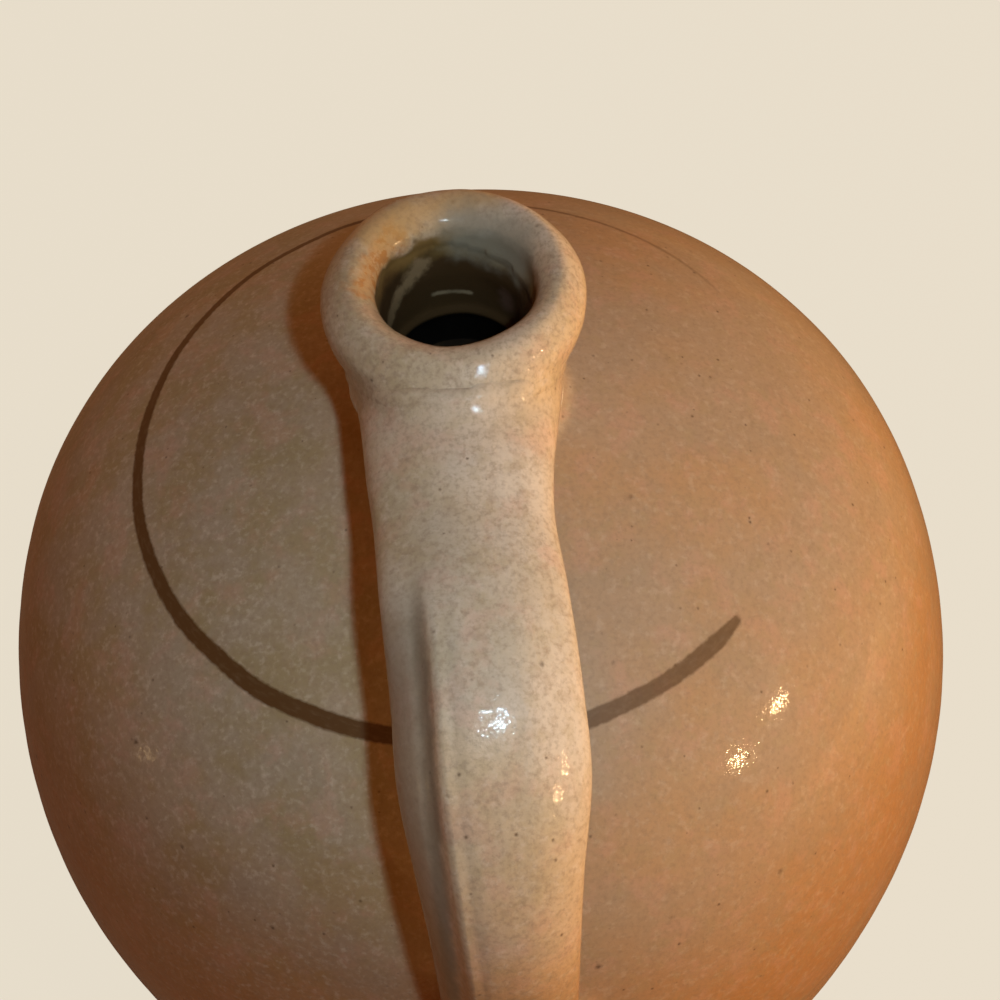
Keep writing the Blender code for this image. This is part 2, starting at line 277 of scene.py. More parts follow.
# %% Sizes of the strap
STRAP_SIDES = 96
STRAP_RINGS = 210
STRAP_MERGE = 0.002 * MM
ROOT_SQUARENESS_SHARE = 0.88
STRAP_SQUARENESS_SHARE = 1.0
STRAP_LEAN = math.radians(3)
RIDGE_SHARE = 0.49
GROOVE_SHARE = 0.65
STEP_DROP = 0.32
FLANK_DROP = 0.75
FACET_SHARE = 0.42
FACET_DROP = 0.34
FACET_ROUND = 0.10
NECK_WRAP = 8.5
PATH_STEPS = 2000

# Fine strokes on its top: share of the half width to the left, drop and spread
FINE_STROKES = ((GROOVE_SHARE, 0.14, 0.08), (0.36, 0.04, 0.035), (RIDGE_SHARE - 0.03, -0.05, 0.06))

# How far out from the axis each form of the strap begins and is whole, in millimetres
SQUARED = (24, 48)
STROKED = (54, 82)
WRAPPED = (16, 44)
LEANING = (25, 60)
LEVEL_AGAIN = (112, 118)

# Out from the axis, height, left and right half widths, thickness, in millimetres
STRAP_STATIONS = (
    (16.0, 304.0, 16.0, 15.4, 17.0),
    (19.5, 305.8, 21.4, 19.6, 20.4),
    (26.0, 307.3, 19.8, 18.8, 20.4),
    (36.0, 307.3, 18.8, 16.0, 17.2),
    (46.0, 306.7, 17.8, 15.0, 14.6),
    (60.6, 307.2, 17.3, 15.8, 13.5),
    (76.3, 305.0, 16.8, 16.5, 13.3),
    (92.0, 297.9, 16.8, 16.6, 12.9),
    (104.3, 286.7, 15.3, 14.3, 12.0),
    (112.5, 271.0, 14.0, 13.0, 11.2),
    (116.2, 250.0, 13.7, 12.2, 10.8),
    (116.0, 232.7, 13.9, 12.2, 10.6),
    (113.2, 218.0, 14.6, 13.6, 10.2),
    (113.4, 207.0, 16.4, 16.4, 9.0),
    (115.2, 198.0, 16.6, 16.8, 7.0),
    (116.8, 190.5, 13.0, 13.2, 4.6),
    (116.6, 186.0, 6.5, 6.5, 2.6),
)
print("strap stations", len(STRAP_STATIONS))


# %% Pull the strap
def spline(stations, share):
    """A smooth value that passes through the stations, at a share of the way from first to last."""
    place = share * (len(stations) - 1)
    i = min(int(place), len(stations) - 2)
    t = place - i
    p0, p1, p2, p3 = (stations[min(max(i + k, 0), len(stations) - 1)] for k in (-1, 0, 1, 2))
    return [0.5 * (2 * b + (c - a) * t + (2 * a - 5 * b + 4 * c - d) * t * t
                   + (3 * b - a - 3 * c + d) * t ** 3) for a, b, c, d in zip(p0, p1, p2, p3)]


def even_shares(stations, count):
    """Shares of the way along the stations that give rings an even distance apart."""
    fine = [spline(stations, i / PATH_STEPS) for i in range(PATH_STEPS + 1)]
    run = [0.0]
    for a, b in zip(fine, fine[1:]):
        run.append(run[-1] + math.dist(a[:2], b[:2]))
    shares, at = [], 0
    for k in range(count + 1):
        while at < PATH_STEPS and run[at] < run[-1] * k / count:
            at += 1
        shares.append(at / PATH_STEPS)
    return shares


def smooth_step(low, high, value):
    """Nothing below low, one above high, and a soft rise between."""
    t = min(max((value - low) / (high - low), 0.0), 1.0)
    return t * t * (3 - 2 * t)


def stroked(angle, out):
    """A section's point (across, up), each from -1 to 1: a thumb presses its left, a finger its right."""
    squared = smooth_step(*SQUARED, out)
    square = ROOT_SQUARENESS_SHARE + (STRAP_SQUARENESS_SHARE - ROOT_SQUARENESS_SHARE) * squared
    across = math.copysign(abs(math.cos(angle)) ** square, math.cos(angle))
    up = math.copysign(abs(math.sin(angle)) ** square, math.sin(angle))
    left = -across
    bend = across - FACET_SHARE
    drop = STEP_DROP * smooth_step(RIDGE_SHARE, GROOVE_SHARE, left)
    drop += FLANK_DROP * max(left - GROOVE_SHARE, 0.0) / (1 - GROOVE_SHARE)
    drop += FACET_DROP * (bend + math.hypot(bend, FACET_ROUND)) / 2
    if up > 0:
        for middle, depth, spread in FINE_STROKES:
            drop += depth * math.exp(-((left - middle) / spread) ** 2)
    return across, up - drop * smooth_step(*STROKED, out)


def pull_strap(name):
    """Extrude a rod ring by ring, then lay each ring on the path."""
    thing = start_from(name, bpy.ops.mesh.primitive_circle_add,
                       vertices=STRAP_SIDES, radius=MM, fill_type="TRIFAN")
    bpy.ops.object.mode_set(mode="EDIT")
    bpy.ops.mesh.select_all(action="SELECT")
    for _ in range(STRAP_RINGS):
        bpy.ops.mesh.extrude_region_move(TRANSFORM_OT_translate={"value": (0, 0, MM)})
    bpy.ops.object.mode_set(mode="OBJECT")
    shares = even_shares(STRAP_STATIONS, STRAP_RINGS)
    for vertex in thing.data.vertices:
        ring = min(round(vertex.co.z / MM), STRAP_RINGS)
        angle = math.atan2(vertex.co.y, vertex.co.x)
        rim = min(math.hypot(vertex.co.x, vertex.co.y) / MM, 1.0)
        out, height, left, right, thick = spline(STRAP_STATIONS, shares[ring])
        ahead = spline(STRAP_STATIONS, min(shares[ring] + 0.004, 1.0))
        behind = spline(STRAP_STATIONS, max(shares[ring] - 0.004, 0.0))
        run_out, run_up = ahead[0] - behind[0], ahead[1] - behind[1]
        length = math.hypot(run_out, run_up)
        across, up = stroked(angle, out)
        half = left if across < 0 else right
        lift = up * rim * thick / 2
        wrap = (1 - smooth_step(*WRAPPED, out)) * (across * rim) ** 2
        x = across * rim * half
        lean = smooth_step(*LEANING, out) * (1 - smooth_step(*LEVEL_AGAIN, out))
        lift -= x * math.tan(STRAP_LEAN) * lean
        y = -(out - lift * run_up / length) + wrap * NECK_WRAP
        z = height + lift * run_out / length
        vertex.co = (x * MM, y * MM, z * MM)
    face_outwards(thing, STRAP_MERGE)
    return thing


strap = pull_strap("strap_handle")
print("strap", len(strap.data.polygons), "faces")

# %% [markdown]
# Wet clay shows the hand. The wheel leaves soft rings that climb as a spiral, and the lip and strap are
# never quite even. Each is a small move of the vertices along their normals, by noise of a known size.
# The mouth alone is opened sideways, as by a finger that wipes it.

# %% Leave the marks of the hand
THROWING_RING_STEP = 8.5 * MM
THROWING_RING_MM = 0.10
SLOW_SINK_MM = 0.20
LIP_WAVER_MM = 0.35
LIP_RIPPLE_MM = 0.10
THROAT_RIDGE_MM = 0.9
STRAP_SWELL_MM = 0.22
STRAP_RIPPLE_MM = 0.07
STRAP_SINK_MM = 0.15


def push(thing, distance):
    """Move each vertex along its normal by what a function of its place and normal gives."""
    vertices = thing.data.vertices
    normals = [v.normal.copy() for v in vertices]
    moves = [distance(v.co.copy(), v.normal.copy()) for v in vertices]
    for vertex, normal, move in zip(vertices, normals, moves):
        vertex.co += normal * move
    thing.data.update()


def throwing_marks(place, normal):
    """Spiral rings on the outer wall, and slow unevenness. Both only sink in and never stand out."""
    radius = math.hypot(place.x, place.y)
    if radius < NEAR_NECK or place.x * normal.x + place.y * normal.y < 0 and normal.z < 0.2:
        return 0.0
    turn = math.atan2(place.y, place.x)
    strength = 0.5 + 0.5 * noise.noise(place / (45 * MM))
    fade = smooth_step(NEAR_NECK, NEAR_NECK + 20 * MM, radius)
    ring = 0.5 + 0.5 * math.sin(math.tau * (place.z + radius * 0.35) / THROWING_RING_STEP + turn)
    slow = 0.5 + 0.5 * noise.noise(place / (60 * MM) + mathutils.Vector((3, 1, 7)))
    return -fade * (THROWING_RING_MM * strength * ring + SLOW_SINK_MM * slow) * MM


def lip_unevenness(place, normal):
    """The wiped lip and the throat's walls waver by a few tenths of a millimetre."""
    if math.hypot(place.x, place.y) > NEAR_NECK or place.z < NECK_SEAM:
        return 0.0
    slow = noise.noise(place / (14 * MM) + mathutils.Vector((5, 2, 1)))
    quick = noise.noise(place / (5 * MM) + mathutils.Vector((1, 8, 4)))
    ridge = math.exp(-((LIP_TOP - THROAT_RIDGE_DEPTH - place.z) / (1.2 * MM)) ** 2)
    throat = 1.0 if math.hypot(place.x, place.y) < MOUTH_RADIUS else 0.0
    fade = smooth_step(NECK_SEAM, NECK_SEAM + 4 * MM, place.z)
    outward = 0.45 - 0.8 * smooth_step(LIP_TOP - 6 * MM, LIP_TOP - 1 * MM, place.z)
    outward *= 1 - throat
    uneven = LIP_WAVER_MM * slow + LIP_RIPPLE_MM * quick
    return fade * (uneven + outward + THROAT_RIDGE_MM * ridge * throat) * MM


def strap_unevenness(place, normal):
    """The strap keeps slow swells from the strokes that pulled it."""
    slow = noise.noise(mathutils.Vector((place.x / (9 * MM), place.y / (40 * MM), place.z / (40 * MM))))
    quick = noise.noise(mathutils.Vector((place.x / (3 * MM), place.y / (24 * MM), place.z / (24 * MM))))
    return (STRAP_SWELL_MM * slow + STRAP_RIPPLE_MM * quick - STRAP_SINK_MM) * MM


def wipe_the_mouth(thing):
    """The potter's finger opens the mouth a little to the right, and draws its crest outward at the back."""
    for vertex in thing.data.vertices:
        place = vertex.co
        radius = math.hypot(place.x, place.y)
        if radius > NEAR_NECK or place.z < LIP_TOP - 14 * MM:
            continue
        rightward = place.x * math.cos(MOUTH_WIDE_ANGLE) + place.y * math.sin(MOUTH_WIDE_ANGLE)
        right = max(rightward / radius, 0) ** 2
        back = max(place.y / radius, 0) ** 2
        rim = 1 - smooth_step(MOUTH_RADIUS, LIP_RADIUS, radius)
        crest = max(1 - ((radius - LIP_CREST_RADIUS) / (LIP_RADIUS - LIP_CREST_RADIUS)) ** 2, 0)
        high = smooth_step(LIP_TOP - 14 * MM, LIP_TOP - 6 * MM, place.z)
        grow = 1 + high * (MOUTH_WIDER * right * rim + CREST_BACK * back * crest) / radius
        vertex.co = (place.x * grow, place.y * grow, place.z)
    thing.data.update()


wipe_the_mouth(jug_form)
push(jug_form, throwing_marks)
push(jug_form, lip_unevenness)
push(strap, strap_unevenness)
print("marks of the hand on", jug_form.name, "and", strap.name)

# %% [markdown]
# The potter presses the strap on and smooths the joint with a wet finger. A boolean would leave a knife
# cut there. Instead both surfaces swell towards each other until they lie on one round that touches both.
# The touch length says how far from the corner the round begins. With a turn b between the two normals
# its radius is R = touch / tan(b / 2). A point at a run s from the corner moves out by
# R - sqrt(R R - (touch - s)(touch - s)). Each surface stays a piece of its own.

# %% Smooth the joints
LEAST_TURN = math.radians(6)
MOST_TURN = math.radians(150)
OVERLAP_SHARE = 0.55
ROOT_TOUCH_MM = 7.0
ROOT_TOUCH_LESS_AT_SIDES_MM = 3.4
TAIL_TOUCH_MM = 6.0


def surface_tree(thing):
    """A search tree of an object's faces as they are now."""
    return mathutils.bvhtree.BVHTree.FromPolygons(
        [v.co.copy() for v in thing.data.vertices], [p.vertices[:] for p in thing.data.polygons])


def fillet(thing, other_tree, near, reach):
    """Swell a surface towards its neighbour, where its points pass a first test, over a touch length."""
    def swell(place, normal):
        touch = reach(place)
        if touch <= 0 or not near(place):
            return 0.0
        found, facing, _, distance = other_tree.find_nearest(place)
        side = 1 if (place - found).dot(facing) > 0 else -1
        if distance > 0.1 * MM:
            facing = side * (place - found)
        turn = min(max(normal.angle(facing, 0.0), LEAST_TURN), MOST_TURN)
        radius = touch / math.tan(turn / 2)
        middle = touch - radius * math.sin(turn / 2)
        run = max(side * distance / math.sin(turn), OVERLAP_SHARE * middle)
        if run >= touch:
            return 0.0
        hidden = 1 - smooth_step(0.5 * MM, 3 * MM, -side * distance)
        return hidden * (radius - math.sqrt(radius ** 2 - min(touch - run, 0.9 * radius) ** 2))
    push(thing, swell)


def joint_reach(place):
    """How far from the corner the round begins, at the neck and at the tail. The open strap has none."""
    if place.z > LIP_TOP - 1 * MM:
        return 0.0
    side = smooth_step(10 * MM, 19 * MM, abs(place.x))
    root = ROOT_TOUCH_MM - ROOT_TOUCH_LESS_AT_SIDES_MM * side
    root *= 1 - smooth_step(34 * MM, 48 * MM, -place.y)
    root *= smooth_step(-4 * MM, 8 * MM, -place.y)
    tail = TAIL_TOUCH_MM * (1 - smooth_step(222 * MM, 236 * MM, place.z))
    return (root if place.z > CROWN_TOP - 20 * MM else tail) * MM


def by_the_strap(place):
    """Only the outside of the body under and beside the strap."""
    return (abs(place.x) < 34 * MM and place.y < 0
            and math.hypot(place.x, place.y) > NECK_RADIUS - 2 * MM and place.z > 170 * MM)


body_tree, strap_tree = surface_tree(jug_form), surface_tree(strap)
fillet(jug_form, strap_tree, by_the_strap, joint_reach)
fillet(strap, body_tree, lambda place: True, joint_reach)
print("joints smoothed")

# %% [markdown]
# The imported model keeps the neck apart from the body, so the turned form is cut at the same height. Bisect
# cuts through the wall and leaves two rims, one outside and one inside. Bridging them closes the wall
# again, and so it does at the floor, where the profile ended open. The two pieces share their rims point
# for point.

# %% Cut the form at the neck
NEAR_THE_CUT = 3 * MM


def select_where(thing, kind, wanted):
    """Select the edges or faces that pass a test, and stay in edit mode."""
    bpy.ops.object.mode_set(mode="EDIT")
    bpy.ops.mesh.select_mode(type=kind)
    bpy.ops.mesh.select_all(action="DESELECT")
    bpy.ops.object.mode_set(mode="OBJECT")
    data = thing.data
    for element in {"EDGE": data.edges, "FACE": data.polygons}[kind]:
        element.select = wanted(element)
    bpy.ops.object.mode_set(mode="EDIT")


def wall_piece(source, name, keep_above):
    """Copy the turned form, keep what lies above or below the neck's seam, and close its rims."""
    thing = source.copy()
    thing.data = source.data.copy()
    thing.name = thing.data.name = name
    bpy.context.scene.collection.objects.link(thing)
    only(thing)
    bpy.ops.object.mode_set(mode="EDIT")
    bpy.ops.mesh.select_all(action="SELECT")
    bpy.ops.mesh.bisect(plane_co=(0, 0, NECK_SEAM), plane_no=(0, 0, 1),
                        clear_inner=keep_above, clear_outer=not keep_above)
    bpy.ops.object.mode_set(mode="OBJECT")
    for level in (NECK_SEAM, FLOOR_TOP):
        faces_on = collections.Counter(key for face in thing.data.polygons for key in face.edge_keys)
        heights = [vertex.co.z for vertex in thing.data.vertices]
        rims = {edge.index for edge in thing.data.edges
                if faces_on[edge.key] == 1 and abs(heights[edge.vertices[0]] - level) < NEAR_THE_CUT}
        if rims:
            select_where(thing, "EDGE", lambda edge: edge.index in rims)
            bpy.ops.mesh.bridge_edge_loops()
            bpy.ops.object.mode_set(mode="OBJECT")
    bpy.ops.object.mode_set(mode="EDIT")
    bpy.ops.mesh.select_all(action="SELECT")
    bpy.ops.mesh.normals_make_consistent(inside=False)
    bpy.ops.object.mode_set(mode="OBJECT")
    bpy.ops.object.shade_smooth_by_angle(angle=math.radians(40))
    return thing


thrown_body = wall_piece(jug_form, "thrown_body", False)
rolled_lip = wall_piece(jug_form, "neck_and_rolled_lip", True)
bpy.data.objects.remove(jug_form)
only(strap)
bpy.ops.object.shade_smooth_by_angle(angle=math.radians(50))
print("body", len(thrown_body.data.polygons), "lip", len(rolled_lip.data.polygons), "faces")

# %% [markdown]
# The foot is where the jug was cut from the wheel with a wire. It is a cylinder of the floor's height, as
# wide as the wall that it meets. Its bottom edge is rounded by a bevel, as a wet finger does. Insets divide
# its underside into rings.

# %% Make the foot
FOOT_BEVEL = 2.4 * MM
UNDERSIDE_LEAST_AREA = 1000 * MM * MM
UNDERSIDE_RINGS = 10
UNDERSIDE_RING_WIDTH = 7 * MM


def bare_foot(name):
    """A disc that fills the space under the floor's top."""
    thing = start_from(name, bpy.ops.mesh.primitive_cylinder_add, vertices=TURN_STEPS,
                       radius=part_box("floor_disc")[1].x, depth=FLOOR_TOP, location=(0, 0, FLOOR_TOP / 2))
    bpy.ops.object.transform_apply(location=True, rotation=True, scale=True)
    heights = [vertex.co.z for vertex in thing.data.vertices]
    select_where(thing, "EDGE", lambda edge: max(heights[i] for i in edge.vertices) < FLOOR_TOP / 2)
    bpy.ops.mesh.bevel(offset=FOOT_BEVEL, segments=5, affect="EDGES")
    select_where(thing, "FACE", lambda face: face.normal.z < -0.99 and face.area > UNDERSIDE_LEAST_AREA)
    for _ in range(UNDERSIDE_RINGS):
        bpy.ops.mesh.inset(thickness=UNDERSIDE_RING_WIDTH)
    bpy.ops.object.mode_set(mode="OBJECT")
    bpy.ops.object.shade_smooth_by_angle(angle=math.radians(40))
    return thing


foot = bare_foot("bare_foot")
print("foot", len(foot.data.polygons), "faces")

# %% [markdown]
# Each colour is written as it looks on the pot, in sRGB hex, and turned to the linear values that the
# renderer works in. One small function adds a node, its own settings and what goes into it: a value, or
# another node's output. A node that is given stands for its first output. Pattern sizes are in
# millimetres, and a noise texture's scale is one over them.

# %% Helpers for materials
SOFT = {"interpolation_type": "SMOOTHSTEP"}


def colour(hex_code):
    """An sRGB hex colour as linear RGBA."""
    channels = [int(hex_code[i:i + 2], 16) / 255 for i in (1, 3, 5)]
    return (*[c / 12.92 if c <= 0.04045 else ((c + 0.055) / 1.055) ** 2.4 for c in channels], 1.0)


def add(tree, kind, inputs=None, **settings):
    """Add one node with its settings, and give its inputs values, outputs, or nodes for their first."""
    node = tree.nodes.new("ShaderNode" + kind)
    for name, value in settings.items():
        setattr(node, name, value)
    for name, value in (inputs or {}).items():
        if isinstance(value, bpy.types.Node):
            value = value.outputs[0]
        if isinstance(value, bpy.types.NodeSocket):
            tree.links.new(value, node.inputs[name])
        else:
            node.inputs[name].default_value = value
    return node


def grain(size_mm):
    """A texture's scale for features of a size in millimetres."""
    return 1 / (size_mm * MM)


def new_finish(name):
    """An empty material and its node tree."""
    material = bpy.data.materials.new(name)
    material.use_nodes = True
    material.node_tree.nodes.clear()
    return material, material.node_tree


def layered(tree, ground, *layers):
    """Colours laid over a ground one after another, each through its own mask."""
    for mask, paint in layers:
        mix = add(tree, "Mix", {0: mask, 6: ground, 7: paint}, data_type="RGBA")
        ground = mix.outputs[2]
    return ground


print("texture scale of a 1 mm grain", grain(1.0))

# %% [markdown]
# Salt thrown into the kiln at its hottest turns to vapour and melts into the clay's skin. The glaze is
# thin, glossy and pitted like orange peel, and the clay shows through: grey-beige on the left, partly from
# smoke in the fire and partly painted shade where the warm light falls less, tan where it was clear, and
# orange low on the wall, partly toasted clay and partly painted warm light. Iron in the clay melts out as
# dark specks.
# The masks are noises and cells in the pot's own coordinates, so they run on from piece to piece.

# %% Patterns of the salt glaze
PEEL_MM = 1.5
FINE_SPECK_MM = 1.0
IRON_SPECK_MM = 8.0
CLOUD_ROUGHNESS = 0.62
print("peel", PEEL_MM, "mm, fine specks", FINE_SPECK_MM, "mm, iron", IRON_SPECK_MM, "mm apart")


def place_of(tree):
    """The pot's own coordinates: the vector, and X, Y, Z apart."""
    vector = add(tree, "TexCoord").outputs["Object"]
    return vector, add(tree, "SeparateXYZ", {0: vector})


def cloud(tree, vector, size_mm, low, high, detail=2.0, seed=0.0, full=1.0):
    """A soft mask from noise of a given size: nothing below low, full above high."""
    shift = add(tree, "VectorMath", {0: vector, 1: (seed, seed * 0.7, -seed)}, operation="ADD")
    noise_node = add(tree, "TexNoise", {"Vector": shift, "Scale": grain(size_mm), "Detail": detail,
                                        "Roughness": CLOUD_ROUGHNESS})
    return add(tree, "MapRange", {0: noise_node, 1: low, 2: high, 4: full},
               **SOFT)


def smear(tree, vector, start, end, radius_mm, soft_mm, ragged_mm, full=1.0):
    """A smear drawn from one place to another, in metres, with a soft and ragged edge."""
    run = mathutils.Vector(end) - mathutils.Vector(start)
    ahead = add(tree, "VectorMath", {0: vector, 1: start}, operation="SUBTRACT")
    along = add(tree, "VectorMath", {0: ahead, 1: run}, operation="DOT_PRODUCT")
    share = add(tree, "MapRange", {0: along.outputs["Value"], 1: 0.0, 2: max(run.length_squared, 1e-9)})
    nearest = add(tree, "VectorMath", {0: run, "Scale": share}, operation="SCALE")
    away = add(tree, "VectorMath", {0: ahead, 1: nearest}, operation="DISTANCE")
    ragged = add(tree, "TexNoise", {"Vector": vector, "Scale": grain(max(ragged_mm, 1.0)), "Detail": 4.0})
    edge = add(tree, "Math", {0: ragged, 1: 2 * ragged_mm * MM, 2: away.outputs["Value"]},
               operation="MULTIPLY_ADD")
    return add(tree, "MapRange", {0: edge, 1: (radius_mm + ragged_mm) * MM,
                                  2: (radius_mm + ragged_mm + soft_mm) * MM, 3: full, 4: 0.0},
               **SOFT)


def specks(tree, vector, cell_mm, radius_mm, share, full=1.0):
    """Dots in some of the cells of a cell pattern, their edges soft."""
    cells = add(tree, "TexVoronoi", {"Vector": vector, "Scale": grain(cell_mm)})
    pick = add(tree, "SeparateColor", {0: cells.outputs["Color"]})
    chosen = add(tree, "Math", {0: pick.outputs[0], 1: share}, operation="LESS_THAN")
    size = add(tree, "MapRange", {0: pick.outputs[1], 3: 0.35 * radius_mm / cell_mm, 4: radius_mm / cell_mm})
    edge = add(tree, "Math", {0: size, 1: 0.25}, operation="MULTIPLY")
    blur = add(tree, "TexNoise", {"Vector": vector, "Scale": grain(0.5 * radius_mm), "Detail": 2.0})
    uneven = add(tree, "Math", {0: blur, 1: 0.5 * radius_mm / cell_mm,
                                2: cells.outputs["Distance"]}, operation="MULTIPLY_ADD")
    whole = add(tree, "Math", {0: size, 1: 0.25 * radius_mm / cell_mm}, operation="ADD")
    dot = add(tree, "MapRange", {0: uneven, 1: edge, 2: whole,
                                 3: full, 4: 0.0}, **SOFT)
    return add(tree, "Math", {0: dot, 1: chosen}, operation="MULTIPLY")


def clay_colour(tree, vector, part, ground, tan, toast_and_warm_light, toast_and_light_top, toast_and_light_foot, grit):
    """The clay as the glaze shows it: greyer on the left from smoke and painted shade, tan on the other side,
    orange low down from toast and painted warm light, with specks.
    """
    drift = add(tree, "TexNoise", {"Vector": vector, "Scale": grain(50), "Detail": 2.0})
    side = add(tree, "Math", {0: drift, 1: 90 * MM, 2: part.outputs[0]}, operation="MULTIPLY_ADD")
    # Painted shade: the left side is greyer and cooler, partly from kiln smoke and partly because the warm
    # light falls less there.
    smoke_and_shade_side = add(tree, "MapRange", {0: side, 1: 75 * MM, 2: -5 * MM}, **SOFT)
    olive = add(tree, "Math", {0: smoke_and_shade_side, 1: cloud(tree, vector, 15, 0.40, 0.62, 4.0, 1.1, 0.7)},
                operation="MULTIPLY")
    mottle = add(tree, "Math", {0: smoke_and_shade_side, 1: cloud(tree, vector, 1.5, 0.50, 0.72, 3.0, 5.1, 0.45)},
                 operation="MULTIPLY")
    # Painted warm light: more orange low on the wall, partly toasted clay and partly warm light from below
    # painted into the colour.
    waver = add(tree, "TexNoise", {"Vector": vector, "Scale": grain(38), "Detail": 3.0})
    shifted = add(tree, "Math", {0: waver, 1: 60 * MM, 2: part.outputs[2]}, operation="MULTIPLY_ADD")
    toast_and_warm_light_mask = add(tree, "MapRange", {0: shifted, 1: toast_and_light_top + 30 * MM, 2: toast_and_light_foot + 30 * MM,
                                     4: 0.85}, **SOFT)
    return layered(
        tree, ground,
        (cloud(tree, vector, 46, 0.36, 0.66, 3.0, 0.2), tan),
        (smoke_and_shade_side, colour("#A6997F")),
        (olive, colour("#98885A")),
        (toast_and_warm_light_mask, toast_and_warm_light),
        (cloud(tree, vector, 17, 0.50, 0.72, 4.0, 0.3, 0.35), colour("#9C8C76")),
        (cloud(tree, vector, 9, 0.50, 0.66, 4.0, 0.8, 0.30), colour("#C99A84")),
        (cloud(tree, vector, 4, 0.50, 0.66, 4.0, 2.6, 0.25), colour("#A8946C")),
        (cloud(tree, vector, 3, 0.50, 0.70, 4.0, 3.4, 0.04 + 0.4 * grit), colour("#92795E")),
        (cloud(tree, vector, 2.0, 0.50, 0.72, 3.0, 4.2, 0.06 + 0.4 * grit), colour("#D8C6B0")),
        (mottle, colour("#CDBFA6")),
        (cloud(tree, vector, FINE_SPECK_MM, 0.42, 0.74, 6.0, 0.1, 0.22 + 0.38 * grit), colour("#86705A")),
        (specks(tree, vector, 2.8, 0.60, 0.30, 0.85), colour("#5A432E")),
        (specks(tree, vector, IRON_SPECK_MM, 1.25, 0.30, 0.85), colour("#473424")),
    )


def peel_bump(tree, vector, depth_mm):
    """The pitted skin: dimples of the peel over a slower unevenness and a fine grain."""
    dimples = add(tree, "TexVoronoi", {"Vector": vector, "Scale": grain(PEEL_MM), "Smoothness": 0.8},
                  feature="SMOOTH_F1")
    slow = add(tree, "TexNoise", {"Vector": vector, "Scale": grain(5.5), "Detail": 2.0})
    fine = add(tree, "TexNoise", {"Vector": vector, "Scale": grain(0.6), "Detail": 2.0})
    both = add(tree, "Math", {0: dimples.outputs["Distance"], 1: 0.45, 2: slow},
               operation="MULTIPLY_ADD")
    height = add(tree, "Math", {0: fine, 1: 0.42, 2: both}, operation="MULTIPLY_ADD")
    return add(tree, "Bump", {"Height": height, "Distance": depth_mm * MM,
                              "Strength": 1.0})


def glaze_surface(tree, base, normal, roughness_low, roughness_high, vector):
    """A thin glass over clay: a slightly rough body of colour under a clear glossy coat."""
    patches = add(tree, "TexNoise", {"Vector": vector, "Scale": grain(7), "Detail": 3.0})
    roughness = add(tree, "MapRange", {0: patches, 1: 0.35, 2: 0.65,
                                       3: roughness_low, 4: roughness_high})
    shader = add(tree, "BsdfPrincipled", {
        "Base Color": base, "Roughness": roughness, "IOR": 1.5, "Normal": normal,
        "Coat Weight": 0.8, "Coat Roughness": 0.07, "Coat IOR": 1.45, "Coat Normal": normal})
    add(tree, "OutputMaterial", {"Surface": shader})


# %% [markdown]
# Before firing, one turn of a brush loaded with iron slip ringed the shoulder. It begins blunt at the
# right of the handle, goes round by the left, and runs dry behind. In the material it is a band of distance
# from the axis. Its width follows the angle, a fine noise frays its edge, and a noise stretched along the
# stroke thins it a little, as bristles do.

# %% The brushed ring
RING_RADIUS = 71.0 * MM
RING_WIDTH = 3.1 * MM
RING_MIDDLE_ANGLE = math.radians(173.3)
RING_HALF_SPAN = math.radians(143.2)
RING_EDGE = 0.25 * MM
RING_FRAY = 0.12 * MM


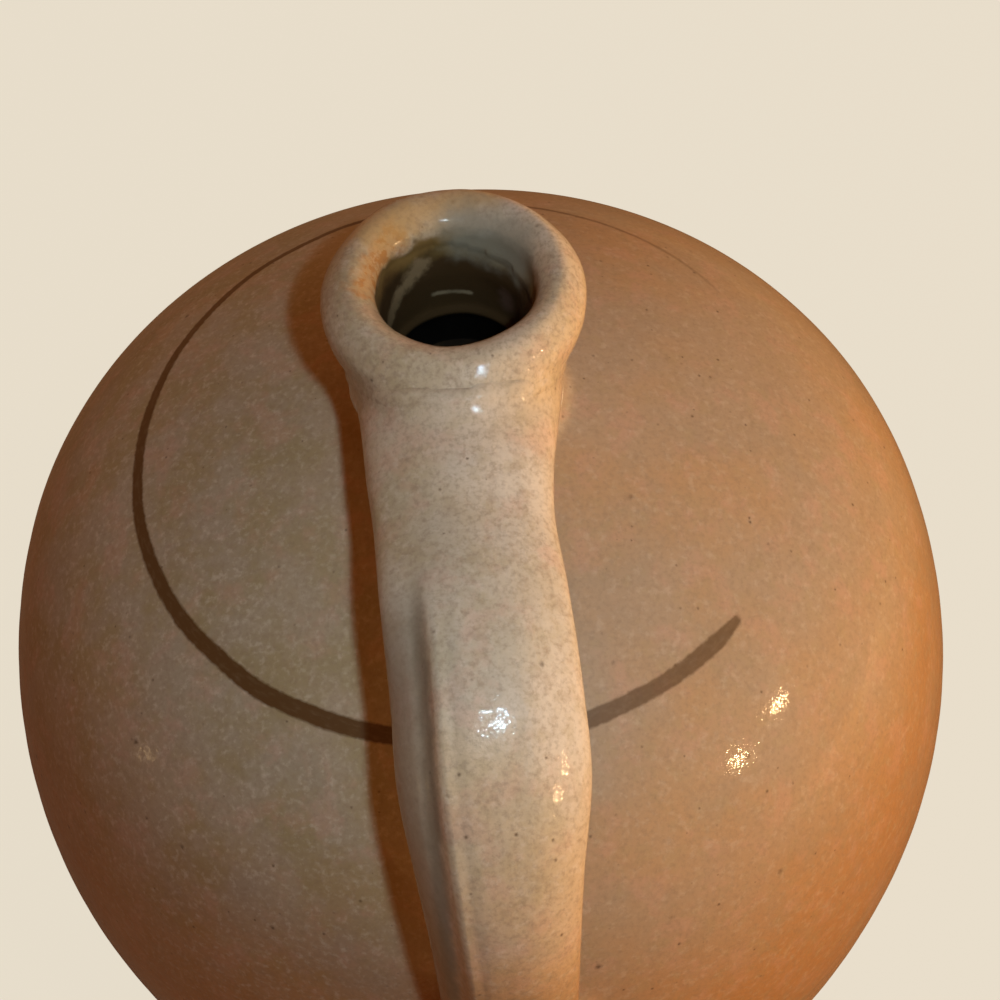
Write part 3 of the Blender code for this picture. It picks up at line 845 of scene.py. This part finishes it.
def brushed_ring(tree, vector):
    """The ring's mask, full where the slip is thick."""
    turned = add(tree, "VectorRotate", {"Vector": vector, "Angle": -RING_MIDDLE_ANGLE},
                 rotation_type="Z_AXIS")
    part = add(tree, "SeparateXYZ", {0: turned})
    angle = add(tree, "Math", {0: part.outputs[1], 1: part.outputs[0]}, operation="ARCTAN2")
    flat = add(tree, "CombineXYZ", {0: part.outputs[0], 1: part.outputs[1]})
    radius = add(tree, "VectorMath", {0: flat}, operation="LENGTH")
    sway = add(tree, "TexNoise", {"Vector": vector, "Scale": grain(36), "Detail": 1.0})
    middle = add(tree, "MapRange", {0: sway, 1: 0.3, 2: 0.7,
                                    3: RING_RADIUS - 0.5 * MM, 4: RING_RADIUS + 0.5 * MM})
    off = add(tree, "Math", {0: radius.outputs["Value"], 1: middle}, operation="SUBTRACT")
    away = add(tree, "Math", {0: off}, operation="ABSOLUTE")
    fuller = add(tree, "MapRange", {0: angle, 1: -RING_HALF_SPAN, 2: math.radians(60),
                                    3: 0.12, 4: 0.5})
    tip = add(tree, "MapRange", {0: angle, 1: RING_HALF_SPAN - math.radians(7), 2: RING_HALF_SPAN,
                                 3: 1.0, 4: 0.5}, **SOFT)
    half = add(tree, "Math", {0: fuller, 1: tip}, operation="MULTIPLY")
    wide = add(tree, "Math", {0: half, 1: RING_WIDTH}, operation="MULTIPLY")
    stroke = add(tree, "CombineXYZ", {0: angle, 1: radius.outputs["Value"]})
    stretched = add(tree, "VectorMath", {0: stroke, 1: (30.0, grain(0.9), 1.0)}, operation="MULTIPLY")
    bristles = add(tree, "TexNoise", {"Vector": stretched, "Scale": 1.0, "Detail": 3.0})
    ragged = add(tree, "TexNoise", {"Vector": vector, "Scale": grain(1.4), "Detail": 3.0})
    rough = add(tree, "MapRange", {0: ragged, 1: 0.3, 2: 0.7, 3: -RING_FRAY, 4: RING_FRAY})
    edge = add(tree, "Math", {0: away, 1: rough}, operation="ADD")
    outer = add(tree, "Math", {0: wide, 1: RING_EDGE}, operation="ADD")
    inner = add(tree, "Math", {0: wide, 1: -RING_EDGE}, operation="ADD")
    band = add(tree, "MapRange", {0: edge, 1: inner, 2: outer, 3: 1.0, 4: 0.0})
    span = add(tree, "Math", {0: angle}, operation="ABSOLUTE")
    within = add(tree, "MapRange", {0: span, 1: RING_HALF_SPAN - math.radians(0.8),
                                    2: RING_HALF_SPAN, 3: 1.0, 4: 0.0})
    loaded = add(tree, "MapRange", {0: angle, 1: -RING_HALF_SPAN, 2: math.radians(-70),
                                    3: 0.25, 4: 1.0})
    dry = add(tree, "MapRange", {0: bristles, 1: 0.30, 2: 0.50, 3: 0.90, 4: 1.0})
    thin = add(tree, "MapRange", {0: angle, 1: math.radians(85), 2: math.radians(115), 3: 1.0, 4: 0.75})
    mask = band
    for share in (within, dry, thin, loaded):
        mask = add(tree, "Math", {0: mask, 1: share}, operation="MULTIPLY")
    return mask


print("ring", RING_RADIUS / MM, "mm from the axis and", RING_WIDTH / MM, "mm wide")


# %% [markdown]
# Each member took the fire in its own way. The body stayed darkest. The lip and the strap stood out into
# the salt and the flame, so their glaze is thicker and paler, and their peel is deeper.

# %% Finish of the thrown body
GROUND = colour("#AE967B")
TAN = colour("#B6936D")
# Orange of toasted clay and of painted warm light on the lower wall.
TOAST_AND_WARM_LIGHT = colour("#B5793F")
IRON_SLIP = colour("#553C20")


def body_finish():
    """Salt glaze over the wheel's rings, with the brushed ring under it."""
    material, tree = new_finish("salt_glaze_on_thrown_clay")
    vector, part = place_of(tree)
    base = clay_colour(tree, vector, part, GROUND, TAN, TOAST_AND_WARM_LIGHT, 270 * MM, 182 * MM, 0.3)
    base = layered(tree, base, (brushed_ring(tree, vector), IRON_SLIP))
    glaze_surface(tree, base, peel_bump(tree, vector, 0.055), 0.42, 0.58, vector)
    return material


print("body from", [round(c, 2) for c in GROUND[:3]], "to", [round(c, 2) for c in TOAST_AND_WARM_LIGHT[:3]])

# %% [markdown]
# The lip was wiped with a wet finger and then dripped on. Smears in the mouth's own angle, radius and
# depth give its iron stain with painted warm light in it, the pool at its back and the drips. Below them the
# throat darkens with depth, dark slip with painted shade over it, and turns to near-black painted shade deep
# in the throat, below its ridge.

# %% Finish of the rolled lip
LIP_GROUND = colour("#D3C2AC")
LIP_TAN = colour("#CEB28C")


def in_the_mouth(angle, radius_mm, depth_mm):
    """A place on the mouth's wall: an angle from +X towards +Y, a radius, and a depth below the lip's top."""
    turn = math.radians(angle)
    return (radius_mm * MM * math.cos(turn), radius_mm * MM * math.sin(turn), LIP_TOP - depth_mm * MM)


def lip_finish():
    """Thicker, paler glaze on the lip, an iron stain with painted warm light on its inner slope, and dark
    slip with painted shade down the throat, near black below its ridge.
    """
    material, tree = new_finish("salt_glaze_on_rolled_lip")
    vector, part = place_of(tree)
    base = clay_colour(tree, vector, part, LIP_GROUND, LIP_TAN, TOAST_AND_WARM_LIGHT, 262 * MM, 168 * MM, 0.6)
    flat = add(tree, "CombineXYZ", {0: part.outputs[0], 1: part.outputs[1]})
    radius = add(tree, "VectorMath", {0: flat}, operation="LENGTH")
    waver = add(tree, "TexNoise", {"Vector": vector, "Scale": grain(5), "Detail": 4.0})
    depth = add(tree, "Math", {0: waver, 1: -8 * MM, 2: part.outputs[2]}, operation="MULTIPLY_ADD")
    inner = add(tree, "MapRange", {0: radius.outputs["Value"], 1: MOUTH_RADIUS + 0.6 * MM,
                                   2: MOUTH_RADIUS + 2.2 * MM, 3: 1.0, 4: 0.0}, **SOFT)
    # Painted shade: the throat darkens with depth over its dark slip, and is near black below its ridge.
    slip_and_shade_start = add(tree, "MapRange", {0: depth, 1: LIP_TOP - 8 * MM, 2: LIP_TOP - 10.5 * MM},
                **SOFT)
    slip_and_shade_deep = add(tree, "MapRange", {0: depth, 1: LIP_TOP - 11 * MM, 2: LIP_TOP - 16 * MM},
               **SOFT)
    painted_cavity_shade = add(tree, "MapRange", {0: part.outputs[2], 1: LIP_TOP - THROAT_RIDGE_DEPTH + 0.3 * MM,
                                   2: LIP_TOP - THROAT_RIDGE_DEPTH - 0.5 * MM})
    slip_and_shade_start_in = add(tree, "Math", {0: slip_and_shade_start, 1: inner}, operation="MULTIPLY")
    slip_and_shade_deep_in = add(tree, "Math", {0: slip_and_shade_deep, 1: inner}, operation="MULTIPLY")
    painted_cavity_shade_in = add(tree, "Math", {0: painted_cavity_shade, 1: inner}, operation="MULTIPLY")

    def streak(start, end, *form):
        """A smear from one place in the mouth to another."""
        return smear(tree, vector, in_the_mouth(*start), in_the_mouth(*end), *form)

    # The orange-yellow on the inner left slope is an iron stain with painted warm light in it.
    stain_and_warm_light = streak((185, 17.5, 3), (128, 17.5, 3), 1.0, 3.4, 2.8, 0.7)
    stain_and_warm_light_spots = add(tree, "Math", {0: stain_and_warm_light, 1: cloud(tree, vector, 1.6, 0.46, 0.60, 3.0, 6.3)},
                operation="MULTIPLY")
    base = layered(
        tree, base,
        (stain_and_warm_light, colour("#C9985E")),
        (stain_and_warm_light_spots, colour("#B0712E")),
        (streak((140, 21, 1), (70, 22, 0), 1.6, 4.5, 3.0, 0.6), colour("#C09A5E")),
        (cloud(tree, vector, FINE_SPECK_MM, 0.42, 0.74, 6.0, 0.1, 0.2), colour("#86705A")),
        (slip_and_shade_start_in, colour("#7A6238")),
        (slip_and_shade_deep_in, colour("#44311C")),
        (streak((75, 16, 5), (35, 16, 6), 2.2, 6.5, 3.0, 0.8), colour("#8F8A78")),
        (streak((115, 14, 11), (161, 14, 18), 1.0, 1.8, 1.5, 0.8), colour("#947A58")),
        (streak((107, 14, 20), (75, 14, 20.7), 0.1, 0.8, 0.3, 0.7), colour("#A08A6C")),
        (streak((40, 14, 18), (40, 14, 20), 0.6, 2.4, 1.5, 0.6), colour("#6E5448")),
        (painted_cavity_shade_in, colour("#0E0A07")))
    glaze_surface(tree, base, peel_bump(tree, vector, 0.09), 0.40, 0.56, vector)
    return material


print("dark slip begins", round(THROAT_RIDGE_DEPTH / MM), "mm down the throat")

# %% [markdown]
# The strap's pressed left flank is painted greyer and darker, as painted shade of the flank that faces away
# from the light. Glaze pooled in its groove, and the brown line there is that glaze with painted shade in
# the groove. Both begin where the strokes begin, beyond the joint at the neck.

# %% Finish of the strap
STRAP_GROUND = colour("#D3C3AF")
STRAP_TAN = colour("#D2B692")


def strap_finish():
    """Finely speckled glaze on the strap, darker on its left flank by painted shade, and brown in the groove
    from pooled glaze and painted shade.
    """
    material, tree = new_finish("salt_glaze_on_pulled_strap")
    vector, part = place_of(tree)
    base = clay_colour(tree, vector, part, STRAP_GROUND, STRAP_TAN, TOAST_AND_WARM_LIGHT, 310 * MM, 233 * MM, 0.6)
    # Painted shade on the left flank, and pooled glaze with painted shade in the groove.
    begun = add(tree, "MapRange", {0: part.outputs[1], 1: -56 * MM, 2: -70 * MM}, **SOFT)
    ragged = add(tree, "TexNoise", {"Vector": vector, "Scale": grain(4), "Detail": 4.0})
    across = add(tree, "Math", {0: ragged, 1: 2 * MM, 2: part.outputs[0]}, operation="MULTIPLY_ADD")
    flank = add(tree, "MapRange", {0: across, 1: -7.6 * MM, 2: -9.2 * MM, 4: 0.6},
                **SOFT)
    beyond = add(tree, "MapRange", {0: across, 1: -9.8 * MM, 2: -11.6 * MM, 3: 0.75, 4: 0.0},
                 **SOFT)
    painted_flank_shade = add(tree, "Math", {0: flank, 1: begun}, operation="MULTIPLY")
    pooled_glaze_and_shade = add(tree, "Math", {0: painted_flank_shade, 1: beyond}, operation="MULTIPLY")
    base = layered(tree, base, (painted_flank_shade, colour("#8A8270")), (pooled_glaze_and_shade, colour("#4F3F29")))
    glaze_surface(tree, base, peel_bump(tree, vector, 0.09), 0.40, 0.56, vector)
    return material


# %% [markdown]
# Inside, the jug was swilled with a brown clay slip that melts to a dark glass, so that it wouldn't seep.
# The foot stood on the kiln's shelf, where no vapour reached it. It is bare: dry, toasted and marked by
# the arcs of the wire that cut it from the wheel.

# %% Finish of the inside and the foot
WIRE_ARC_STEP_MM = 4.5
WIRE_DEPTH = 0.35 * MM
INSIDE_SHARE = 0.6


def slip_finish():
    """Dark, glossy slip glaze inside the jug."""
    material, tree = new_finish("dark_slip_glaze")
    vector = place_of(tree)[0]
    base = layered(tree, colour("#2A2019"),
                   (cloud(tree, vector, 14, 0.45, 0.70, 3.0, 0.6), colour("#43311F")))
    glaze_surface(tree, base, peel_bump(tree, vector, 0.1), 0.25, 0.40, vector)
    return material


def bare_finish():
    """Unglazed stoneware: matt, gritty, toasted at its rim."""
    material, tree = new_finish("bare_toasted_stoneware")
    vector, part = place_of(tree)
    base = layered(tree, colour("#B08A5E"),
                   (cloud(tree, vector, 24, 0.40, 0.65, 4.0, 0.4), colour("#A26A38")),
                   (cloud(tree, vector, 3, 0.55, 0.75, 4.0, 0.9), colour("#8A6A48")),
                   (specks(tree, vector, 3.4, 0.7, 0.30), colour("#4A3422")))
    wire = add(tree, "VectorMath", {0: vector, 1: (140 * MM, -60 * MM, 0.0)}, operation="DISTANCE")
    arcs = add(tree, "Math", {0: wire.outputs["Value"], 1: math.tau * grain(WIRE_ARC_STEP_MM)},
               operation="MULTIPLY")
    wave = add(tree, "Math", {0: arcs}, operation="SINE")
    grit = add(tree, "TexNoise", {"Vector": vector, "Scale": grain(0.9), "Detail": 4.0})
    under = add(tree, "MapRange", {0: part.outputs[2], 1: 0.0, 2: 1 * MM, 3: 0.35, 4: 0.0})
    height = add(tree, "Math", {0: wave, 1: under, 2: grit},
                 operation="MULTIPLY_ADD")
    bump = add(tree, "Bump", {"Height": height, "Distance": WIRE_DEPTH, "Strength": 1.0})
    shader = add(tree, "BsdfPrincipled", {"Base Color": base, "Roughness": 0.85, "IOR": 1.5,
                                          "Normal": bump})
    add(tree, "OutputMaterial", {"Surface": shader})
    return material


slip = slip_finish()
thrown_body.data.materials.append(body_finish())
thrown_body.data.materials.append(slip)
rolled_lip.data.materials.append(lip_finish())
strap.data.materials.append(strap_finish())
foot.data.materials.append(bare_finish())
foot.data.materials.append(slip)


def outside_radius(level):
    """The outside's radius at a height."""
    for (r0, z0), (r1, z1) in zip(outer_profile, outer_profile[1:]):
        if z1 <= level <= z0:
            return r0 + (r1 - r0) * (z0 - level) / max(z0 - z1, 0.001 * MM)
    return outer_profile[-1][0]


for face in thrown_body.data.polygons:
    centre = face.center
    if math.hypot(centre.x, centre.y) < outside_radius(centre.z) - WALL_THICKNESS * INSIDE_SHARE:
        face.material_index = 1
for face in foot.data.polygons:
    if face.normal.z > 0.9:
        face.material_index = 1
print("finishes", [m.name for m in bpy.data.materials if m.users and m.node_tree])

# %% [markdown]
# The pieces ride on the imported body and stand for its nodes, which are hidden.

# %% Tie the pieces to the imported model
JUG_PIECES = (
    (thrown_body, "body_glaze", ("lower_wall", "shoulder_dome")),
    (rolled_lip, "neck_glaze", ("neck_collar", "lip_roll")),
    (strap, "handle_glaze", ("handle_strap", "handle_root_wad", "handle_tail_pad")),
    (foot, "toasted_clay", ("floor_disc",)),
)
for piece, finish, nodes in JUG_PIECES:
    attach(piece, "root")
    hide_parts(*nodes)
    print(piece.name, "stands for", ", ".join(nodes))

# %% [markdown]
# The floor is a plain sheet of pale paper. The camera sees most of it at its own colour, and the rest
# as it is lit, so that it stays even and still takes the jug's shadow. The glaze reflects only a small
# share of it, because a full one would draw a pale rim round the jug.

# %% Floor and world
PAPER = colour("#E8DFCD")
FLOOR_SIZE = 4.0
BACKDROP_GLOSS_SHARE = 0.03
PAPER_GLOW = 1.14
PAPER_PLAIN_SHARE = 0.85
ROOM_TINT = (1.0, 0.27, 0.03, 1.0)
ROOM_LEVEL = 0.19


def backdrop_rays(tree):
    """The rays that meet a plain backdrop: from the camera, through glass, and a share of the reflected."""
    path = add(tree, "LightPath")
    straight = add(tree, "Math", {0: path.outputs["Is Camera Ray"], 1: path.outputs["Is Transmission Ray"]},
                   operation="ADD")
    return add(tree, "Math", {0: path.outputs["Is Glossy Ray"], 1: BACKDROP_GLOSS_SHARE, 2: straight},
               operation="MULTIPLY_ADD")


def paper_finish():
    """Paper that shows its own colour to the camera, and shadows through it."""
    material, tree = new_finish("pale_paper")
    lit = add(tree, "BsdfDiffuse", {"Color": colour("#95805F")})
    plain = add(tree, "Emission", {"Color": PAPER, "Strength": PAPER_GLOW})
    seen = add(tree, "Math", {0: backdrop_rays(tree), 1: PAPER_PLAIN_SHARE}, operation="MULTIPLY")
    mix = add(tree, "MixShader", {0: seen, 1: lit, 2: plain})
    add(tree, "OutputMaterial", {"Surface": mix})
    return material


paper = start_from("paper_floor", bpy.ops.mesh.primitive_plane_add, size=FLOOR_SIZE)
paper.data.materials.append(paper_finish())

world = bpy.data.worlds.new("room")
bpy.context.scene.world = world
world.use_nodes = True
world.node_tree.nodes.clear()
room_light = add(world.node_tree, "Background", {"Color": ROOM_TINT, "Strength": ROOM_LEVEL})
room_seen = add(world.node_tree, "Background", {"Color": PAPER, "Strength": 1.0})
room_mix = add(world.node_tree, "MixShader", {0: backdrop_rays(world.node_tree),
                                              1: room_light, 2: room_seen})
add(world.node_tree, "OutputWorld", {"Surface": room_mix})
print("floor", FLOOR_SIZE, "m across, room light", ROOM_LEVEL)

# %% [markdown]
# The photograph has a cool light beside the lens and a warm room. The cool one draws the shadows of the lip
# and the strap: a soft lamp gives its light, and a smaller one at the same place gives its highlight. A
# broad warm light stands low on the right, two small lamps there shine back from the shoulder, a faint one
# does on the left, and two broad dim ones stand behind. Cool and warm together come out about neutral, so
# a colour looks as it is written where both fall. A lamp's level is the share of plain light that it
# gives where it points.

# %% Lamps
SHOULDER_LEVEL = 0.24
COOL = (0.60, 0.85, 1.0)
WARM = (1.0, 0.65, 0.32)
DIM_WARM = (1.0, 0.70, 0.42)


def around(azimuth, elevation, distance):
    """A place seen from the jug's shoulder at an azimuth from -Y towards +X, and an elevation."""
    a, e = math.radians(azimuth), math.radians(elevation)
    return (distance * math.sin(a) * math.cos(e), -distance * math.cos(a) * math.cos(e),
            SHOULDER_LEVEL + distance * math.sin(e))


def lamp(name, place, aim, size, tint, level, shines=True):
    """An area lamp that lights its aim to a level of plain light. A broad one needn't shine back."""
    data = bpy.data.lights.new(name, "AREA")
    data.shape = "RECTANGLE"
    data.size, data.size_y = size
    data.color = tint
    reach = mathutils.Vector(aim) - mathutils.Vector(place)
    data.energy = level * math.pi ** 2 * reach.length_squared
    thing = bpy.data.objects.new(name, data)
    thing.location = place
    thing.rotation_mode = "QUATERNION"
    thing.rotation_quaternion = reach.to_track_quat("-Z", "Y")
    thing.visible_glossy = shines
    bpy.context.scene.collection.objects.link(thing)
    print(name, "level", level, "power", round(data.energy, 2), "W")


LENS_LAMP_PLACE = (47 * MM, -178 * MM, LIP_TOP + 220 * MM)
STRAP_AIM = (0.0, -30 * MM, LIP_TOP - 10 * MM)
BODY_AIM = (0.0, 0.0, 0.16)
lamp("lens_lamp", LENS_LAMP_PLACE, STRAP_AIM, (18 * MM, 14 * MM), COOL, 0.50, shines=False)
lamp("lens_spark", LENS_LAMP_PLACE, STRAP_AIM, (5 * MM, 4 * MM), COOL, 0.18)
lamp("warm_room_right", around(79, 1, 1.6), BODY_AIM, (0.8, 0.6), WARM, 1.15, shines=False)
lamp("warm_lamp_near", around(53, 18, 1.5), BODY_AIM, (36 * MM, 24 * MM), WARM, 0.06)
lamp("warm_lamp_far", around(67, 19, 1.5), BODY_AIM, (36 * MM, 24 * MM), WARM, 0.06)
lamp("warm_lamp_left", around(-75, 3, 1.5), BODY_AIM, (40 * MM, 40 * MM), WARM, 0.003)
lamp("room_behind_right", around(150, 8, 1.8), BODY_AIM, (0.9, 0.7), DIM_WARM, 0.25, shines=False)
lamp("room_behind_left", around(-140, -5, 1.8), BODY_AIM, (0.9, 0.7), DIM_WARM, 0.16, shines=False)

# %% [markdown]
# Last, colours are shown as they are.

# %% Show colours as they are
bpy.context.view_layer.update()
scene = bpy.context.scene
scene.view_settings.view_transform = "Standard"
